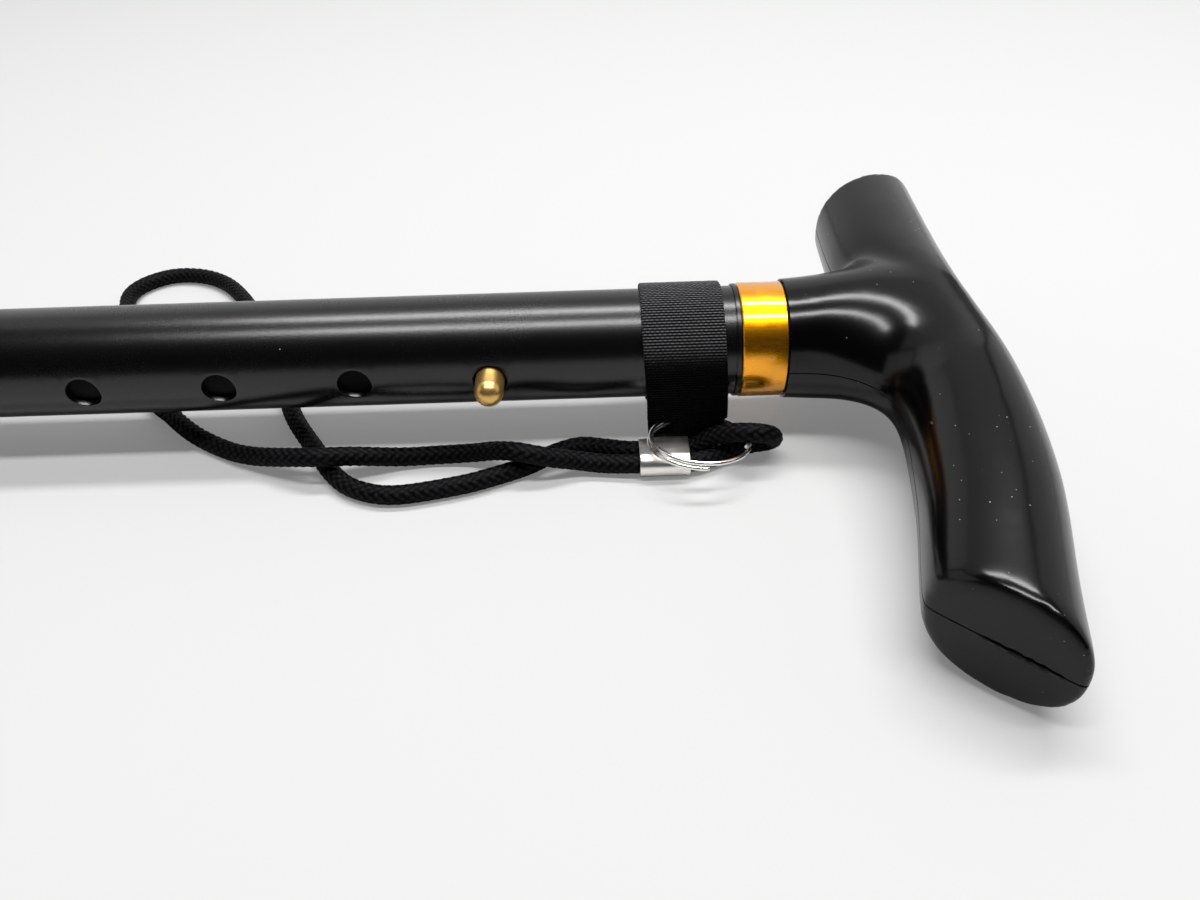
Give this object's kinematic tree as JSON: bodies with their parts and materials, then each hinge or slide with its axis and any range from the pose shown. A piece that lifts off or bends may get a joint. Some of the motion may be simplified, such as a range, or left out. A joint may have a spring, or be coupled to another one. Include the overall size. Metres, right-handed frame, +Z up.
{
  "type": "folding cane",
  "caption": "Folding walking cane with a moulded derby handle, telescopic push-button height setting, elastic-corded shaft sections, rubber tip and a wrist strap.",
  "frame": {"origin": "centre of the rubber tip's face", "axes": "+X up the shaft to the handle, +Z up as the cane lies on a table, -Y towards the handle's long end and the height holes"},
  "size_m": [0.838, 0.1498, 0.0361],
  "materials": {
    "handle_moulding": "glossy black moulding",
    "black_tube": "satin black anodised",
    "gold_collar": "bright gold anodised",
    "button_brass": "satin brass",
    "nickel_plate": "bright nickel plate",
    "spring_steel": "plain steel",
    "black_plastic": "matt black moulding",
    "tip_rubber": "matt black rubber",
    "band_webbing": "ribbed black elastic webbing",
    "braided_cord": "black braided cord",
    "elastic_braid": "black covered elastic"
  },
  "bodies": {
    "handle_section": {"handle_upper_shell": "handle_moulding", "handle_lower_shell": "handle_moulding", "tube_plug": "black_plastic", "handle_pin": "spring_steel", "collar_ring": "gold_collar", "collar_washer": "black_plastic", "handle_tube": "black_tube", "tube_end_bush": "black_plastic", "wrist_band": "band_webbing", "split_ring": "nickel_plate", "cord_crimp": "nickel_plate", "wrist_cord": "braided_cord"},
    "upper_shaft": {"upper_tube": "black_tube", "button_spring": "spring_steel", "cord_anchor_top": "black_plastic", "joint_plug_1": "black_plastic", "elastic_cord_1": "elastic_braid"},
    "button": {"snap_button": "button_brass"},
    "knuckle_1": {"joint_cord_1": "elastic_braid"},
    "section_2": {"tube_2": "black_tube", "socket_liner_2": "black_plastic", "joint_collar_2": "black_plastic", "joint_plug_2": "black_plastic", "elastic_cord_2": "elastic_braid"},
    "knuckle_2": {"joint_cord_2": "elastic_braid"},
    "section_3": {"tube_3": "black_tube", "socket_liner_3": "black_plastic", "joint_collar_3": "black_plastic", "joint_plug_3": "black_plastic", "elastic_cord_3": "elastic_braid"},
    "knuckle_3": {"joint_cord_3": "elastic_braid"},
    "section_4": {"tube_4": "black_tube", "socket_liner_4": "black_plastic", "joint_collar_4": "black_plastic", "elastic_cord_4": "elastic_braid", "cord_anchor_bottom": "black_plastic", "tip_washer": "spring_steel", "rubber_tip": "tip_rubber"}
  },
  "joints": [
    {"name": "height_adjust", "type": "slide", "parent": "handle_section", "child": "upper_shaft", "axis": [-1, 0, 0], "range_m": [0, 0.1524]},
    {"name": "button_press", "type": "slide", "parent": "upper_shaft", "child": "button", "axis": [0, 0.9962, 0.0872], "range_m": [0, 0.0072], "stiffness_N_per_m": 1500, "deforming": ["button_spring"]},
    {"name": "pull_1", "type": "slide", "parent": "upper_shaft", "child": "knuckle_1", "axis": [-1, 0, 0], "range_m": [0, 0.04], "stiffness_N_per_m": 150, "springref_m": -0.1667},
    {"name": "fold_1", "type": "hinge", "parent": "knuckle_1", "child": "section_2", "pos_m": [0.545, 0, 0.0152], "axis": [0, 1, 0], "range_deg": [0, 180]},
    {"name": "pull_2", "type": "slide", "parent": "section_2", "child": "knuckle_2", "axis": [-1, 0, 0], "range_m": [0, 0.04], "stiffness_N_per_m": 150, "springref_m": -0.1667},
    {"name": "fold_2", "type": "hinge", "parent": "knuckle_2", "child": "section_3", "pos_m": [0.37, -0.0152, 0], "axis": [0, 0, 1], "range_deg": [0, 180]},
    {"name": "pull_3", "type": "slide", "parent": "section_3", "child": "knuckle_3", "axis": [-1, 0, 0], "range_m": [0, 0.04], "stiffness_N_per_m": 150, "springref_m": -0.1667},
    {"name": "fold_3", "type": "hinge", "parent": "knuckle_3", "child": "section_4", "pos_m": [0.195, 0, 0.0152], "axis": [0, 1, 0], "range_deg": [0, 180]}
  ],
  "couplings": [
    {"joint": "fold_1", "follows": "pull_1", "rad_per_m": 78.54},
    {"joint": "fold_2", "follows": "pull_2", "rad_per_m": 78.54},
    {"joint": "fold_3", "follows": "pull_3", "rad_per_m": 78.54}
  ]
}
